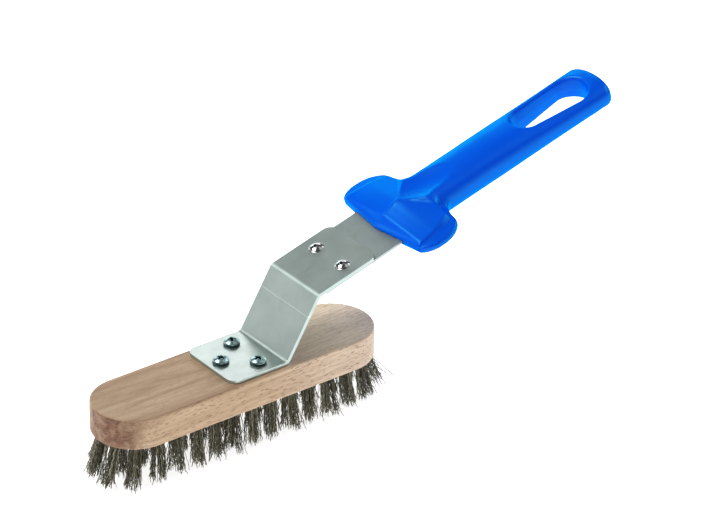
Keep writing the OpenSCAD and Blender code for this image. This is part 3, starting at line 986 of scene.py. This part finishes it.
def toward(azimuth, elevation):
    """Unit vector at an azimuth, with 0 in front of the brush, and an elevation in degrees."""
    a, e = math.radians(azimuth), math.radians(elevation)
    return Vector((math.sin(a) * math.cos(e), -math.cos(a) * math.cos(e), math.sin(e)))


def aim(obj, eye, target, roll=0.0):
    """Puts a camera or light at eye, facing the target, upright but for its roll."""
    back = (Vector(eye) - Vector(target)).normalized()
    right = Vector((0, 0, 1)).cross(back).normalized()
    up = back.cross(right)
    basis = Matrix((right, up, back)).transposed()
    obj.matrix_world = (Matrix.Translation(Vector(eye)) @ basis.to_4x4()
                        @ Matrix.Rotation(roll, 4, "Z"))


def link_new(name, data):
    """A new object in the scene that holds some data."""
    obj = bpy.data.objects.new(name, data)
    bpy.context.scene.collection.objects.link(obj)
    return obj


def make_camera():
    """Long lens on the brush's near side, a little above it."""
    data = bpy.data.cameras.new("camera")
    data.sensor_width = SENSOR
    data.lens = SENSOR * CAMERA["focal_px"] / IMAGE_W
    data.clip_end = CAMERA["clip_end"]
    camera = link_new("camera", data)
    back = toward(CAMERA["azimuth"], CAMERA["elevation"])
    target = Vector(CAMERA["target"]) * MM
    aim(camera, target + back * CAMERA["distance"] * MM, target, math.radians(CAMERA["roll"]))
    bpy.context.scene.camera = camera


def softbox(name, azimuth, elevation, size, brightness, colour):
    """Rectangular light aimed at the brush."""
    data = bpy.data.lights.new(name, "AREA")
    data.shape = "RECTANGLE"
    data.size, data.size_y = size
    data.energy = math.pi * size[0] * size[1] * brightness
    data.color = colour
    back = toward(azimuth, elevation)
    aim(link_new(name, data), LIGHT_TARGET + back * LIGHT_DISTANCE, LIGHT_TARGET)


def make_world():
    """Dim fill light all round, behind a backdrop as pale as the floor."""
    world = bpy.data.worlds.new("studio")
    world.use_nodes = True
    bpy.context.scene.world = world
    background = world.node_tree.nodes["Background"]
    background.inputs["Color"].default_value = (*WHITE, 1)
    path = world.node_tree.nodes.new("ShaderNodeLightPath")
    strength = world.node_tree.nodes.new("ShaderNodeMath")
    strength.operation = "MULTIPLY_ADD"
    strength.inputs[1].default_value = BACKDROP - FILL
    strength.inputs[2].default_value = FILL
    world.node_tree.links.new(path.outputs["Is Camera Ray"], strength.inputs[0])
    world.node_tree.links.new(strength.outputs["Value"], background.inputs["Strength"])


def make_floor():
    """Plain pale card that glows enough to look white from every side."""
    s = Shader("floor_card")
    soft = s.noise(0.002, 2, 0.55)
    s.set(Base_Color=s.ramp(soft, (0.0, (0.90, 0.90, 0.90)), (1.0, (0.94, 0.94, 0.94))),
          Roughness=s.band(soft, 0.0, 1.0, 0.85, 0.95),
          Emission_Color=(*WHITE, 1), Emission_Strength=FLOOR_GLOW)
    mesh = bpy.data.meshes.new("floor")
    corners = [(x * FLOOR_REACH, y * FLOOR_REACH, 0)
               for x, y in ((-1, -1), (1, -1), (1, 1), (-1, 1))]
    mesh.from_pydata(corners, [], [(0, 1, 2, 3)])
    mesh.materials.append(s.material)
    floor = link_new("floor", mesh)


def clear_defaults():
    """Removes what a new Blender file holds apart from the frame."""
    kept = set(frame["nodes"].values()) | set(frame["bodies"].values())
    for obj in list(bpy.data.objects):
        if obj not in kept:
            bpy.data.objects.remove(obj)


# ---------------------------------------------------------------- the scene

clear_defaults()
make_camera()
make_world()
make_floor()
for light in LIGHTS:
    softbox(*light)
bpy.context.scene.view_settings.view_transform = "Standard"

soften("block", 0, beech())
soften("bracket", 0.22, zinc_sheet())
soften("tang", 0.15, tang_steel())
make_handle(handle_plastic())
# The screws carry painted shade in their recesses and round their heads.
make_screws(plated(
    "screw_zinc", (0.24, 0.38, 0.39), (0.44, 0.60, 0.61), 0.24, 0.32, with_painted_shade=True))
make_rivets(plated("rivet_bright", (0.42, 0.44, 0.43), (0.58, 0.60, 0.59), 0.10, 0.16))
# Mandrel ends coloured nearly black: painted shade for the rivets' bores.
mandrel_shade_steel = plated("mandrel_steel", (0.03, 0.03, 0.03), (0.08, 0.08, 0.08), 0.25, 0.40)
for rivet_side in ("left", "right"):
    soften("mandrel_" + rivet_side, 0.1, mandrel_shade_steel)
wire = bristle_wire()
plain_steel = plated("anchor_wire", (0.48, 0.48, 0.47), (0.60, 0.60, 0.59), 0.25, 0.40)
for row in ("left", "middle", "right", "nose", "heel"):
    make_tufts("tufts_" + row, wire)
    soften("anchors_" + row, 0, plain_steel)
